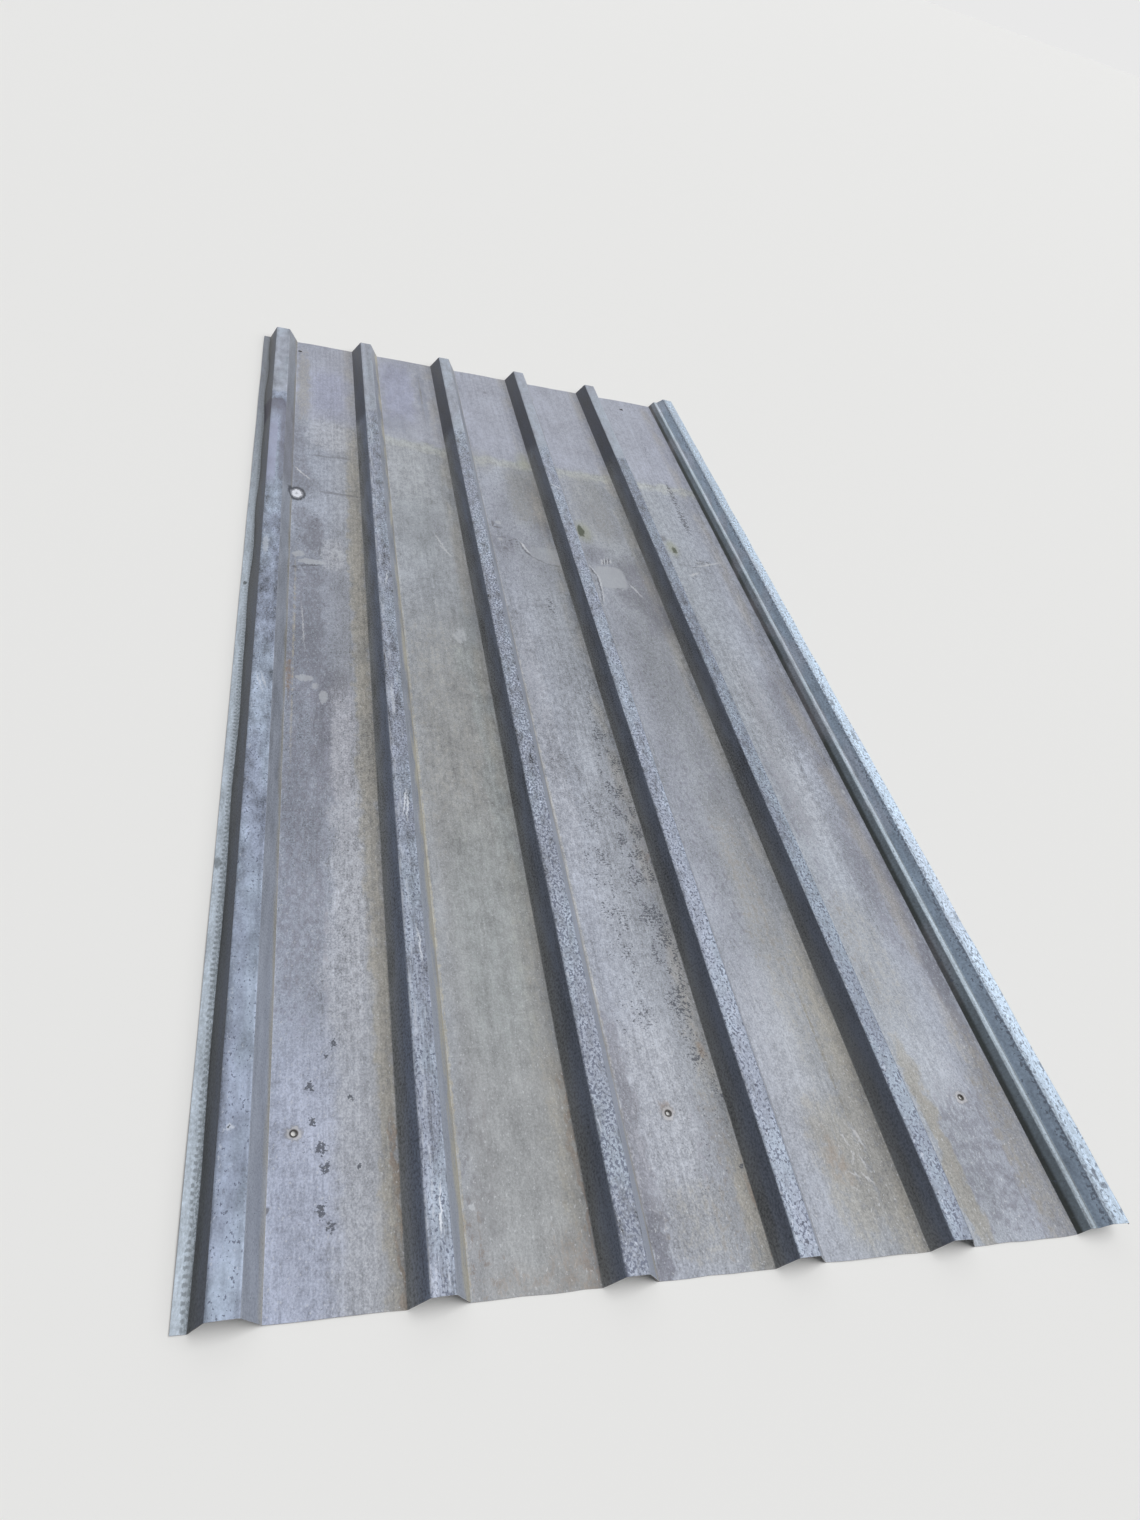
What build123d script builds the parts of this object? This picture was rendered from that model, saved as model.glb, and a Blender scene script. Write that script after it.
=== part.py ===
from build123d import *
import os

# Trapezoidal roof sheet, roll-formed from one strip of galvanised steel.
# Millimetres. X across the ribs, Y along them, Z up. The origin is under the middle of the sheet,
# on the plane that the undersides of the pans rest on.

# Strip
sheet_length = 2340.0
sheet_thickness = 0.6
bend_radius = 2.5            # inside every bend, measured on the underside

# Ribs, all of one height
rib_pitch = 209.0
rib_height = 30.0            # from the underside of a pan to the top of a crest
pan_count = 5
crest_width = 26.0
base_width = 64.5

# Overlap rib on the left, which goes over the last rib of the sheet beside it
overlap_crest = 31.6
overlap_outer_run = 14.5     # how far the outer slope leans out
overlap_inner_run = 20.8
lip_width = 16.2             # flat foot beside the overlap rib

# Underlap rib on the right, with a ledge half way up that breaks the creep of water
underlap_start = 17.0        # how far the slope starts before the rib's pitch line
underlap_low_run = 11.0
ledge_height = 16.5
ledge_width = 10.3
underlap_high_run = 15.2
underlap_crest = 26.6
edge_drop = 5.0              # the last edge is turned down by this much
edge_run = 2.0

# Screw holes, drilled through the pans on site: pan number from 0, and distance from the rib before it
hole_radius = 3.0
front_row = 190.0            # from the front end
front_holes = ((0, 63.0), (2, 94.0), (4, 115.0))
rear_row = 60.0              # from the rear end
rear_holes = ((0, 44.0), (4, 93.0))

crest_level = rib_height - sheet_thickness


def rib_points(centre):
    """Underside of one rib between two pans, as points across the sheet."""
    return [
        (centre - base_width / 2, 0.0),
        (centre - crest_width / 2, crest_level),
        (centre + crest_width / 2, crest_level),
        (centre + base_width / 2, 0.0),
    ]


def overlap_points():
    """Underside of the left edge: the foot lip and the overlap rib, whose crest is centred on zero."""
    crest = overlap_crest / 2
    foot = crest + overlap_outer_run
    return [
        (-foot - lip_width, 0.0),
        (-foot, 0.0),
        (-crest, crest_level),
        (crest, crest_level),
        (crest + overlap_inner_run, 0.0),
    ]


def underlap_points():
    """Underside of the right edge: the stepped underlap rib and its turned-down edge."""
    base = pan_count * rib_pitch - underlap_start
    ledge = base + underlap_low_run
    wall = ledge + ledge_width
    crest = wall + underlap_high_run
    edge = crest + underlap_crest
    return [
        (base, 0.0),
        (ledge, ledge_height),
        (wall, ledge_height),
        (crest, crest_level),
        (edge, crest_level),
        (edge + edge_run, crest_level - edge_drop),
    ]


def underside():
    """Every bend of the section from the left edge to the right edge."""
    points = overlap_points()
    for rib in range(1, pan_count):
        points += rib_points(rib * rib_pitch)
    return points + underlap_points()


def hole_places(row_y, holes):
    """Centres of one row of holes, measured from the first rib."""
    return [(pan * rib_pitch + offset, row_y) for pan, offset in holes]


with BuildPart() as sheet:
    with BuildSketch(Plane.XZ):
        with BuildLine():
            FilletPolyline(*underside(), radius=bend_radius)
            offset(amount=sheet_thickness, side=Side.LEFT)
        make_face()
    extrude(amount=sheet_length / 2, both=True)
    front_y = -sheet_length / 2 + front_row
    rear_y = sheet_length / 2 - rear_row
    places = hole_places(front_y, front_holes) + hole_places(rear_y, rear_holes)
    with Locations(*places):
        Hole(hole_radius)

# The section was drawn from the first rib, so it moves across until its middle is over the origin
middle = sheet.part.bounding_box().center().X
roof_sheet = Location((-middle, 0, 0)) * sheet.part
print("first rib stands at x =", round(-middle, 3))

os.makedirs("parts", exist_ok=True)
export_step(roof_sheet, "parts/roof_sheet.step")
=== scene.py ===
import math

import bpy
import numpy as np
from mathutils import Matrix, Vector


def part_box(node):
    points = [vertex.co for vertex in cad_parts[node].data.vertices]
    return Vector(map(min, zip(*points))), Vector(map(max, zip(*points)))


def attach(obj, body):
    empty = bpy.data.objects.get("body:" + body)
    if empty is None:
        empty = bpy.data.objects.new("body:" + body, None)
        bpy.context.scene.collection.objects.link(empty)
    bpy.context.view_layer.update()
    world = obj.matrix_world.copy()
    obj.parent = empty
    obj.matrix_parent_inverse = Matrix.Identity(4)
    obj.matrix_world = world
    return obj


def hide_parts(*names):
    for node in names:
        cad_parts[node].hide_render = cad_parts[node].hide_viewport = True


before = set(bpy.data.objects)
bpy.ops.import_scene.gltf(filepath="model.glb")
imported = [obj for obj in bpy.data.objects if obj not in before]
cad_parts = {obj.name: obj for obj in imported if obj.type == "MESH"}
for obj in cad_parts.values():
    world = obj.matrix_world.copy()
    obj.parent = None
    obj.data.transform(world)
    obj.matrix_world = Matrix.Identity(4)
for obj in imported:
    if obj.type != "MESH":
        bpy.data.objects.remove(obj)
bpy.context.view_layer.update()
sheetLow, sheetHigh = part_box("roof_sheet")
print("frame loaded, sheet", [round(v, 4) for v in sheetHigh - sheetLow])


# The section as it was rolled, in millimetres: pans, ribs, the overlap rib with its lip, the underlap rib
section = {
    "pitch": 209.0,
    "pans": 5,
    "thickness": 0.6,
    "bendRadius": 2.5,
    "crest": 26.0,
    "base": 64.5,
    "lip": 16.2,
    "outerRun": 14.5,
    "overlapCrest": 31.6,
    "innerRun": 20.8,
    "underlapStart": 17.0,
    "lowRun": 11.0,
    "ledgeHeight": 16.5,
    "ledge": 10.3,
    "highRun": 15.2,
    "underlapCrest": 26.6,
    "edgeDrop": 5.0,
    "edgeRun": 2.0,
}

# Screw holes: pan number from 0, distance from the rib before it, distance from the front end
screwHoles = {
    "radius": 3.0,
    "places": [(0, 63.0, 190.0), (2, 94.0, 190.0), (4, 115.0, 190.0), (0, 44.0, 2280.0), (4, 93.0, 2280.0)],
    "burr": 0.4,
    "dimple": (13, 1.3),        # the pan stands up round each hole, within a radius and by a height
}

mm = 0.001
sheetLength = (sheetHigh.y - sheetLow.y) / mm
ribHeight = (sheetHigh.z - sheetLow.z) / mm
crestLevel = ribHeight - section["thickness"]
firstRib = section["lip"] + section["outerRun"] + section["overlapCrest"] / 2    # from the left edge


def underlapPlaces():
    # how far across the underlap rib starts, and its ledge, wall, crest and edge
    places = [section["pans"] * section["pitch"] - section["underlapStart"]]
    for name in ("lowRun", "ledge", "highRun", "underlapCrest"):
        places.append(places[-1] + section[name])
    return places


def sectionCorners():
    # corners of the underside, across the sheet from the first rib's centre
    half = section["overlapCrest"] / 2
    corners = [(-firstRib, 0), (-half - section["outerRun"], 0), (-half, crestLevel), (half, crestLevel)]
    corners.append((half + section["innerRun"], 0))
    top, foot = section["crest"] / 2, section["base"] / 2
    for rib in range(1, section["pans"]):
        centre = rib * section["pitch"]
        corners += [(centre - foot, 0), (centre - top, crestLevel)]
        corners += [(centre + top, crestLevel), (centre + foot, 0)]
    start, ledge, wall, crest, edge = underlapPlaces()
    corners += [(start, 0), (ledge, section["ledgeHeight"]), (wall, section["ledgeHeight"])]
    corners += [(crest, crestLevel), (edge, crestLevel)]
    return corners + [(edge + section["edgeRun"], crestLevel - section["edgeDrop"])]


def roundedLine(corners, radius, arcSteps):
    # the corners joined by straight runs, each corner swapped for an arc
    points = [Vector(corners[0])]
    for before, here, after in zip(corners, corners[1:], corners[2:]):
        here = Vector(here)
        back, ahead = (Vector(before) - here).normalized(), (Vector(after) - here).normalized()
        turn = math.pi - back.angle(ahead)
        centre = here + (back + ahead).normalized() * radius / math.cos(turn / 2)
        start = here + back * radius * math.tan(turn / 2)
        sense = 1 if back.x * ahead.y - back.y * ahead.x < 0 else -1
        for step in range(arcSteps + 1):
            points.append(centre + Matrix.Rotation(sense * turn * step / arcSteps, 2) @ (start - centre))
    return points + [Vector(corners[-1])]


def splitRuns(points, longest, shoulder):
    # extra points on the straight runs: one close to each bend, the rest evenly spaced
    out = [points[0]]
    for a, b in zip(points, points[1:]):
        run = (b - a).length
        if run > 4 * shoulder:
            count = max(1, math.ceil((run - 2 * shoulder) / longest))
            inner = [shoulder + (run - 2 * shoulder) * k / count for k in range(count + 1)]
            out += [a + (b - a) * d / run for d in inner]
        out.append(b)
    return out


# How fine the mesh is, in millimetres
meshSteps = {
    "arc": 3,               # steps in each bend
    "across": 18.0,
    "shoulder": 1.6,        # lines this close to each bend keep its shape
    "alongFine": 3.0,
    "alongCoarse": 13.0,
    "fineReach": 60.0,      # how far from each end the lines stay fine
    "patch": 6.0,           # half of the square round a screw hole
    "clear": 2.0,
    "sharpAngle": 42,
}
flat = 0.01                 # a point lower than this lies on a pan or the lip


def patchOffsets():
    side = meshSteps["patch"]
    return [-side, -side * math.tan(math.pi / 8), 0.0, side * math.tan(math.pi / 8), side]


def holeCentres():
    return [(pan * section["pitch"] + offset, along) for pan, offset, along in screwHoles["places"]]


def holeLines(places):
    # the mesh lines that the holes need; they replace any that lie too close to them
    wanted = sorted({round(place + offset, 4) for place in places for offset in patchOffsets()})
    return wanted, lambda value: all(abs(value - w) > meshSteps["clear"] for w in wanted)


def acrossPoints():
    # (across, height) of each mesh line along the sheet, on the underside
    line = roundedLine(sectionCorners(), section["bendRadius"], meshSteps["arc"])
    line = [(p.x, p.y) for p in splitRuns(line, meshSteps["across"], meshSteps["shoulder"])]
    wanted, clear = holeLines([across for across, _ in holeCentres()])
    return sorted([p for p in line if p[1] > flat or clear(p[0])] + [(w, 0.0) for w in wanted])


def alongStations():
    fine, coarse, reach = meshSteps["alongFine"], meshSteps["alongCoarse"], meshSteps["fineReach"]
    ends = list(np.arange(0, reach, fine))
    middle = list(np.linspace(reach, sheetLength - reach, int((sheetLength - 2 * reach) / coarse) + 1))
    stations = ends + middle + [sheetLength - v for v in reversed(ends)]
    wanted, clear = holeLines([along for _, along in holeCentres()])
    return sorted([v for v in stations if clear(v)] + wanted)


def smooth(value, low, high):
    t = np.clip((value - low) / (high - low), 0, 1)
    return t * t * (3 - 2 * t)


def bell(value, width):
    return np.exp(-(value / width) ** 2)


# How far the real sheet strays from the rolled section, in millimetres
wear = {
    "panRise": 1.2,              # the pans bow up between the ribs
    "crestSag": (0.05, 0.5),     # everywhere, and here and there
    "slopeWave": 0.35,
    "frontFlare": (1.8, 0.6),    # the ribs are pressed down a little at the front end, unevenly
    "flareReach": 70.0,
    "raggedEnd": 1.5,
    "endRoom": 0.25,
    "endReach": 12.0,
    "lipWave": 1.6,
    "lipRoom": 0.4,
    "footWave": 2.4,             # the bend between lip and overlap rib wanders
    "footReach": 11.0,
    "edgeWave": (1.4, 1.8),      # across and down
    "edgePlace": (22, 42),       # it starts and is whole this far across from the last rib's pitch line
    "topRoom": 0.03,             # stays this much under the crests of the rolled section
    "buckle": {                  # the overlap rib was trodden in up to a sharp edge, most on its right
        "along": 1926.0, "reach": 12.0, "drop": 5.5, "fade": (1100.0, 1866.0), "across": (-20.0, 38.0),
        "tilt": (-4.0, 17.0),
    },
    "curl": {"across": 31.0, "width": 12.0, "lift": 2.4, "reach": 9.0},     # at the front end
    "dentLength": 1.5,           # dents are this much longer than wide
    "dents": [                   # across, along, radius, depth; depth goes down on a crest and up on a pan
        (-5, 187, 9, -0.9), (-2, 1893, 34, -1.6), (9, 820, 16, -0.8), (209, 1255, 18, -0.7),
        (414, 640, 14, -0.6), (632, 1420, 20, -0.9), (839, 900, 16, -0.7), (47, 1569, 17, 0.9),
        (75, 1358, 42, 1.1), (345, 1130, 26, 0.8), (475, 1560, 17, 0.7), (696, 1398, 36, 0.6),
        (1078, 60, 16, -1.6), (1082, 470, 22, -1.2), (1080, 1180, 26, -1.0), (1076, 1750, 30, -1.3),
        (1070, 24, 9, -1.4),
    ],
    "waves": {                   # size in millimetres, stretch along the sheet and seed
        "pan": (420, 2.2, 11), "crest": (300, 1.5, 12), "flare": (260, 1, 13), "lip": (230, 1, 14),
        "edgeDown": (170, 1, 15), "edgeAcross": (95, 1, 16), "front": (60, 1, 17), "rear": (75, 1, 18),
        "slope": (240, 3, 19), "foot": (330, 1, 20),
    },
}


def wander(name, across, along):
    # slow unevenness between -1 and 1, as a sum of waves that run different ways
    size, stretch, seed = wear["waves"][name]
    rng = np.random.default_rng(seed)
    total = 0
    for _ in range(8):
        heading, start = rng.uniform(0, 2 * math.pi, 2)
        length = size * rng.uniform(0.7, 1.6)
        way = across * math.cos(heading) + along * math.sin(heading) / stretch
        total = total + np.sin(way * 2 * math.pi / length + start)
    return total / 8 * 1.6      # nearly fills -1 to 1


def partly(name, across, along):
    # the same between 0 and 1
    return np.clip(0.5 + 0.5 * wander(name, across, along), 0, 1)


def weatheredShape(points):
    # points on the underside as (across, along, height), returned as they stand after years of use
    across, along, height = points.T.copy()
    rise = np.clip(height / crestLevel, 0, 1)
    pitch, lastRib = section["pitch"], section["pitch"] * section["pans"]
    intoPan = (across % pitch - section["base"] / 2) / (pitch - section["base"])
    onPan = (height < flat) & (intoPan > 0) & (intoPan < 1) & (across > 0) & (across < lastRib)
    bow = np.where(onPan, np.sin(np.clip(intoPan, 0, 1) * math.pi), 0)
    height += wear["panRise"] * bow * partly("pan", across, along)
    even, uneven = wear["crestSag"]
    height -= rise * (uneven * partly("crest", across, along) + even)
    across += wear["slopeWave"] * 4 * rise * (1 - rise) * wander("slope", across, along)

    even, uneven = wear["frontFlare"]
    flare = rise * (1 - smooth(along, 0, wear["flareReach"]))
    height -= flare * (even + uneven * wander("flare", across, along))

    lip = smooth(-across, firstRib - section["lip"], firstRib)
    height += wear["lipWave"] * lip * partly("lip", 0, along)
    across += wear["lipRoom"] * lip
    foot = section["overlapCrest"] / 2 + section["outerRun"]
    atFoot = bell(across + foot, wear["footReach"]) * (1 - rise)
    across += wear["footWave"] * atFoot * wander("foot", 0, along)

    buckle = wear["buckle"]
    edge, reach = buckle["along"], buckle["reach"]
    nearer = smooth(along, *buckle["fade"]) - smooth(along, edge - reach, edge + reach)
    left, right = buckle["across"]
    drop = buckle["drop"] * nearer * rise * smooth(across, *buckle["tilt"])
    height -= np.where((across > left) & (across < right), drop, 0)

    curl = wear["curl"]
    lifted = bell(across - curl["across"], curl["width"]) * (1 - smooth(along, 0, curl["reach"]))
    height += curl["lift"] * lifted * (1 - rise)

    for dentAcross, dentAlong, radius, depth in wear["dents"]:
        away = np.hypot(across - dentAcross, (along - dentAlong) / wear["dentLength"])
        height += depth * bell(away, radius) * (rise > 0.9 if depth < 0 else rise < 0.1)
    radius, lift = screwHoles["dimple"]
    for holeAcross, holeAlong in holeCentres():
        height += lift * bell(np.hypot(across - holeAcross, along - holeAlong), radius) * (rise < 0.1)

    outer = smooth(across - lastRib, *wear["edgePlace"])
    inward, down = wear["edgeWave"]
    height -= down * outer * partly("edgeDown", 0, along)
    across -= inward * outer * partly("edgeAcross", 0, along)

    for name, sense, end in (("front", 1, 0), ("rear", -1, sheetLength)):
        nick = wear["raggedEnd"] * partly(name, across, 0) ** 2 + wear["endRoom"]
        along += sense * nick * (1 - smooth(abs(along - end), 0, wear["endReach"]))
    return np.stack([across, along, np.clip(height, 0, crestLevel - wear["topRoom"])], 1)


finishes = ["pan%d" % (number + 1) for number in range(section["pans"])]
finishes += ["crests", "slopes", "lip", "lapRib", "underside", "edge"]


def regionAt(one, two):
    # which finish the strip between two mesh lines takes, from their places (across, height)
    across, height = (one[0] + two[0]) / 2, (one[1] + two[1]) / 2
    if across > underlapPlaces()[0]:
        return finishes.index("lapRib")
    if height > crestLevel - section["thickness"]:
        return finishes.index("crests")
    if height > section["thickness"]:
        return finishes.index("slopes")
    return finishes.index("lip") if across < 0 else int(across // section["pitch"])


def linesRound(values, place):
    # the numbers of the five mesh lines round a screw hole
    return [int(np.abs(np.array(values) - place - offset).argmin()) for offset in patchOffsets()]


def screwHoleMesh(line, stations):
    # per hole: the cells of the grid that make room for it, the border round them, and the bore's points
    for centre, along in holeCentres():
        cols, rows = linesRound([across for across, _ in line], centre), linesRound(stations, along)
        if cols[4] - cols[0] != 4 or rows[4] - rows[0] != 4:
            raise ValueError("mesh lines crowd a screw hole")
        border = [(rows[0], c) for c in cols[:4]] + [(r, cols[4]) for r in rows[:4]]
        border += [(rows[4], c) for c in reversed(cols[1:])] + [(r, cols[0]) for r in reversed(rows[1:])]
        bore = []
        for r, c in border:
            away = Vector((line[c][0] - centre, stations[r] - along)).normalized() * screwHoles["radius"]
            bore.append((centre + away.x, along + away.y, screwHoles["burr"]))
        yield {(r, c) for r in rows[:4] for c in cols[:4]}, border, bore


def buildSheet():
    line, stations = acrossPoints(), alongStations()
    rows, columns = len(stations), len(line)
    points = [(a, s, h) for s in stations for a, h in line]
    gone, ringFaces, ringRegions = set(), [], []
    for (pan, _, _), (cells, border, bore) in zip(screwHoles["places"], screwHoleMesh(line, stations)):
        gone |= cells
        outside = [r * columns + c for r, c in border]
        inside = range(len(points), len(points) + len(bore))
        for k, after in enumerate([*range(1, len(border)), 0]):
            ringFaces.append((outside[k], outside[after], inside[after], inside[k]))
        ringRegions += [pan] * len(border)
        points += bore
    cells = [(r, c) for r in range(rows - 1) for c in range(columns - 1) if (r, c) not in gone]
    corners = ((0, 0), (0, 1), (1, 1), (1, 0))
    faces = [tuple((r + up) * columns + c + over for up, over in corners) for r, c in cells] + ringFaces
    regions = [regionAt(line[c], line[c + 1]) for _, c in cells] + ringRegions
    used = sorted({v for face in faces for v in face})
    place = {v: k for k, v in enumerate(used)}
    points = weatheredShape(np.array(points, float)[used])
    points[:, 0] += sheetLow.x / mm + firstRib
    points[:, 1] += sheetLow.y / mm
    mesh = bpy.data.meshes.new("weathered_roof_sheet")
    mesh.from_pydata([tuple(p * mm) for p in points], [], [tuple(place[v] for v in face) for face in faces])
    mesh.polygons.foreach_set("material_index", regions)
    sheet = bpy.data.objects.new("weathered_roof_sheet", mesh)
    bpy.context.scene.collection.objects.link(sheet)
    solid = sheet.modifiers.new("thickness", "SOLIDIFY")
    solid.thickness = section["thickness"] * mm
    solid.offset = 1
    solid.use_even_offset = True
    solid.use_rim = True
    print("sheet mesh", rows, "by", columns, "lines")
    return sheet


def thicken(sheet):
    # gives the sheet its thickness for good; the new faces below and round the edges get their own finish
    shell = len(sheet.data.polygons)
    graph = bpy.context.evaluated_depsgraph_get()
    done = bpy.data.meshes.new_from_object(sheet.evaluated_get(graph))
    sheet.modifiers.clear()
    sheet.data = done
    for face in done.polygons:
        if face.index >= 2 * shell:
            face.material_index = finishes.index("edge")
        elif face.normal.z < 0:
            face.material_index = finishes.index("underside")
    done.shade_smooth()
    done.set_sharp_from_angle(angle=math.radians(meshSteps["sharpAngle"]))


def mathNode(operation, swapped=False):
    # a method of Wire that adds a Math node
    def method(wire, *others):
        values = (*others, wire) if swapped else (wire, *others)
        return wire.paint.node("ShaderNodeMath", {"operation": operation}, dict(enumerate(values)))
    return method


# A socket that carries a value. Arithmetic on it adds Math nodes
class Wire:
    __add__ = mathNode("ADD")
    __sub__ = mathNode("SUBTRACT")
    __rsub__ = mathNode("SUBTRACT", swapped=True)
    __mul__ = mathNode("MULTIPLY")
    __truediv__ = mathNode("DIVIDE")
    __mod__ = mathNode("FLOORED_MODULO")
    __abs__ = mathNode("ABSOLUTE")
    larger = mathNode("MAXIMUM")

    def __init__(self, paint, socket):
        self.paint, self.socket = paint, socket


studio = {
    "floor": (0.86, 0.86, 0.85, 1),
    "floorSize": 300.0,
    "floorDrop": 0.0003,     # keeps the floor clear of the undersides that rest on it
    "world": 0.16,
    "backdrop": 0.815,
    "seenBy": ("Is Camera Ray", "Is Glossy Ray", "Is Transmission Ray"),
    "whiteLevel": 1.12,      # how bright a sheet that lies flat would render if it were white
    "suns": [
        {"name": "key", "from": (0.50, -0.10, 0.86), "spread": 66, "strength": 2.5},
        {"name": "back", "from": (0.30, 0.80, 0.52), "spread": 80, "strength": 0.35},
    ],
}


def tone(parts):
    # a colour as it looks under the studio's light, from three parts of 0 to 255
    linear = [((part / 255 + 0.055) / 1.055) ** 2.4 for part in parts]
    return (*[part / studio["whiteLevel"] for part in linear], 1)


# A node tree and the nodes that are made in it
class Paint:
    def __init__(self, owner):
        owner.use_nodes = True
        self.owner, self.tree = owner, owner.node_tree
        self.tree.nodes.clear()

    def node(self, kind, settings=None, sockets=None, out=0):
        made = self.tree.nodes.new(kind)
        for name, value in (settings or {}).items():
            if name == "stops":
                self.setStops(made.color_ramp, value)
            else:
                setattr(made, name, value)
        for name, value in (sockets or {}).items():
            if isinstance(value, Wire):
                self.tree.links.new(value.socket, made.inputs[name])
            else:
                made.inputs[name].default_value = value
        return None if out is None else Wire(self, made.outputs[out])

    def setStops(self, ramp, stops):
        while len(ramp.elements) < len(stops):
            ramp.elements.new(0.5)
        for element, (position, colour) in zip(ramp.elements, stops):
            element.position, element.color = position, colour

    def vector(self, operation, *values, out=0):
        return self.node("ShaderNodeVectorMath", {"operation": operation}, dict(enumerate(values)), out)

    def parts(self, vector):
        return [self.node("ShaderNodeSeparateXYZ", {}, {0: vector}, out=axis) for axis in "XYZ"]

    def step(self, value, low, high, reach=1.0):
        # 0 below low, reach above high, smooth between; falls where low is the larger
        sockets = {"Value": value, "From Min": low, "From Max": high, "To Max": reach}
        if low > high:
            sockets.update({"From Min": high, "From Max": low, "To Min": reach, "To Max": 0.0})
        return self.node("ShaderNodeMapRange", {"interpolation_type": "SMOOTHSTEP"}, sockets)

    def band(self, value, low, high, soft, reach=1.0):
        return self.step(value, low - soft, low + soft, reach) * self.step(value, high + soft, high - soft)

    def mix(self, factor, one, two):
        return self.node("ShaderNodeMix", {"data_type": "RGBA"}, {0: factor, 6: one, 7: two}, out=2)

    def scaled(self, colour, amount):
        return self.node("ShaderNodeVectorMath", {"operation": "SCALE"}, {0: colour, "Scale": amount})

    def finish(self, colour, metallic, roughness, bump=None, strength=0.3, depth=0.25):
        # depth of the bumps in millimetres
        sockets = {"Base Color": colour, "Metallic": metallic, "Roughness": roughness}
        if bump is not None:
            bumpSockets = {"Height": bump, "Strength": strength, "Distance": depth * mm}
            sockets["Normal"] = self.node("ShaderNodeBump", {}, bumpSockets)
        shader = self.node("ShaderNodeBsdfPrincipled", {}, sockets)
        self.node("ShaderNodeOutputMaterial", {}, {"Surface": shader}, out=None)
        return self.owner


# Paint for the sheet. Places are in millimetres: across from the first rib's centre, along from the
# front end, up from the underside of the pans. Its look is the dictionary above each finish, and a mark
# there is a row of its place across and along, its half width, its half length and its strength
class ZincPaint(Paint):
    seedSteps = (3.17, 5.71)          # how far apart the clouds of two seeds lie
    drawnOut = 1.6                    # outlines stray this much further along the sheet than across
    markRoom = 20                     # how far a mark may stray past its outline
    markSize = 1.8                    # and how much larger than its half width it may come out
    raggedEdge, raggedFade = (0.41, 0.55), (0.02, 0.22)

    def __init__(self, name, look, span=(-math.inf, math.inf)):
        super().__init__(bpy.data.materials.new(name))
        self.look, self.span = look, span
        place = self.node("ShaderNodeTexCoord", out="Object")
        shift = (-sheetLow.x / mm - firstRib, -sheetLow.y / mm, 0)
        self.place = self.vector("MULTIPLY_ADD", place, (1 / mm,) * 3, shift)
        self.across, self.along, self.height = self.parts(self.place)
        self.surface, self.colour = self.place, None

    def fromRib(self):
        half = section["pitch"] / 2
        return (self.across + half) % section["pitch"] - half

    def cloud(self, name, out=0):
        # blotches about size millimetres wide, drawn out along the ribs by stretch; 0 to 1, mostly near 0.5
        size, stretch, detail, seed, roughness = self.look["clouds"][name]
        shift = [seed * step for step in self.seedSteps]
        at = self.vector("MULTIPLY_ADD", self.surface, (1 / size, 1 / (size * stretch), 0), (*shift, 0))
        sockets = {"Vector": at, "Scale": 1.0, "Detail": detail, "Roughness": roughness}
        return self.node("ShaderNodeTexNoise", {"noise_dimensions": "2D"}, sockets, out)

    def strayed(self, name, reach):
        # the place, shifted here and there by up to half of reach, so that outlines drawn on it are uneven
        further = reach * self.drawnOut
        moved = self.vector("MULTIPLY_ADD", self.cloud(name, out=1), (reach, further, 0), self.place)
        return self.vector("ADD", moved, (-reach / 2, -further / 2, 0))

    def lay(self, factor, shade):
        # lays a tone over the colour, a tone of its own or one of the look's by its name
        self.colour = self.mix(factor, self.colour, tone(self.look.get(shade, shade)))

    def shade(self, amount):
        self.colour = self.scaled(self.colour, amount)

    def areas(self, name):
        # the sum of soft-edged parts of the sheet, less those that lie elsewhere. Each row says where one
        # starts and stops across and along, as pairs of places or None, and how strong it is
        found = []
        for left, right, front, rear, strength in self.look[name]:
            if (left and left[0] > self.span[1]) or (right and right[1] < self.span[0]):
                continue
            part = strength
            for value, start, stop in ((self.across, left, right), (self.along, front, rear)):
                if start:
                    part = self.step(value, *start) * part
                if stop:
                    part = self.step(value, *reversed(stop)) * part
            found.append(part)
        return sum(found[1:], found[0]) if found else 0.0

    def blot(self, on, mark, soft, full=False):
        # one mark as an oval; a full one has blunt corners instead, like a rectangle
        across, along, wide, long, reach = mark
        away = self.vector("MULTIPLY_ADD", on, (1 / wide, 1 / long, 0), (-across / wide, -along / long, 0))
        if full:
            away = self.vector("MULTIPLY", away, away)
        return self.step(self.vector("LENGTH", away, out="Value"), 1 + soft, 1 - soft, reach)

    def touches(self, across, half):
        # whether a mark can reach into this finish, with room for its uneven outline
        reach = half * self.markSize + self.markRoom
        return self.span[0] < across + reach and across - reach < self.span[1]

    def together(self, masks):
        total = masks[0] if masks else 0.0
        for mask in masks[1:]:
            total = total.larger(mask)
        return total

    def blots(self, on, marks, soft, full=False):
        # several marks as one mask, less those that lie elsewhere
        near = [mark for mark in marks if self.touches(mark[0], mark[2])]
        return self.together([self.blot(on, mark, soft, full) for mark in near])

    def ragged(self, mask, unevenness):
        # breaks a soft mask up into patches with crisp ragged edges
        return self.step(mask + unevenness, *self.raggedEdge) * self.step(mask, *self.raggedFade)

    def mark(self, on, layers, unevenness=None):
        # each layer has a tone, a softness, for ragged outlines the share of unevenness, where the outline
        # starts and ends and its strength, and then its marks
        for shade, soft, outline, marks in layers:
            mask = self.blots(on, marks, soft)
            if outline:
                share, low, high, reach = outline
                mask = self.step(unevenness * share + mask, low, high, reach)
            if mask:
                self.lay(mask, shade)

    def scratch(self, on):
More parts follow.
